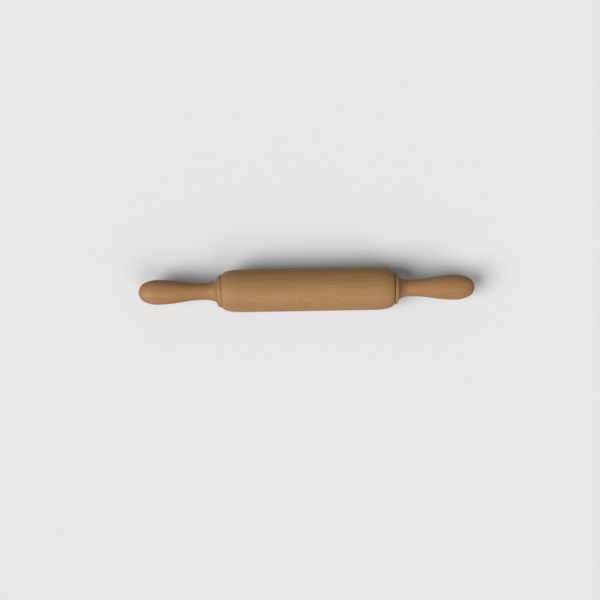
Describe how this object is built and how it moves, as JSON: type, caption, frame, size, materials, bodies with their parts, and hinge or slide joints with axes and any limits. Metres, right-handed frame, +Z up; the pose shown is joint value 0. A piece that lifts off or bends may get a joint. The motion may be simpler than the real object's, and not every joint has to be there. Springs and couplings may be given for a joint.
{
  "type": "rolling pin",
  "caption": "Turned wooden rolling pin with a domed handle and collar at each end and a barrel that spins on bearings.",
  "frame": {"origin": "middle of the pin's bounding box, on the turning axis", "axes": "+X along the turning axis towards the right handle, +Z up from the worktop"},
  "size_m": [0.4284, 0.0546, 0.0546],
  "materials": {
    "beech_barrel": "fine sanded, oiled",
    "beech_handle": "fine sanded, oiled",
    "axle_steel": "drawn",
    "insert_brass": "turned",
    "washer_nylon": "moulded",
    "cup_nylon": "moulded",
    "ring_steel": "ground",
    "ball_steel": "polished",
    "cage_nylon": "moulded",
    "shield_steel": "pressed"
  },
  "bodies": {
    "handles_and_axle": {"axle": "axle_steel", "left_handle": "beech_handle", "right_handle": "beech_handle", "left_threaded_insert": "insert_brass", "right_threaded_insert": "insert_brass", "left_thrust_washer": "washer_nylon", "right_thrust_washer": "washer_nylon"},
    "inner_rings": {"left_bearing_inner_ring": "ring_steel", "right_bearing_inner_ring": "ring_steel"},
    "barrel": {"barrel": "beech_barrel", "left_bearing_cup": "cup_nylon", "right_bearing_cup": "cup_nylon", "left_bearing_outer_ring": "ring_steel", "right_bearing_outer_ring": "ring_steel", "left_bearing_shields": "shield_steel", "right_bearing_shields": "shield_steel"},
    "left_ball_set": {"left_bearing_balls": "ball_steel", "left_ball_cage": "cage_nylon"},
    "right_ball_set": {"right_bearing_balls": "ball_steel", "right_ball_cage": "cage_nylon"}
  },
  "joints": [
    {"name": "barrel_float", "type": "slide", "parent": "handles_and_axle", "child": "inner_rings", "axis": [1, 0, 0], "range_m": [-0.00005, 0.00045]},
    {"name": "barrel_spin", "type": "hinge", "parent": "inner_rings", "child": "barrel", "pos_m": [0, 0, 0], "axis": [1, 0, 0], "continuous": true},
    {"name": "left_balls_spin", "type": "hinge", "parent": "inner_rings", "child": "left_ball_set", "pos_m": [0, 0, 0], "axis": [1, 0, 0], "continuous": true},
    {"name": "right_balls_spin", "type": "hinge", "parent": "inner_rings", "child": "right_ball_set", "pos_m": [0, 0, 0], "axis": [1, 0, 0], "continuous": true}
  ],
  "couplings": [
    {"joint": "left_balls_spin", "follows": "barrel_spin", "ratio": 0.6323},
    {"joint": "right_balls_spin", "follows": "barrel_spin", "ratio": 0.6323}
  ]
}
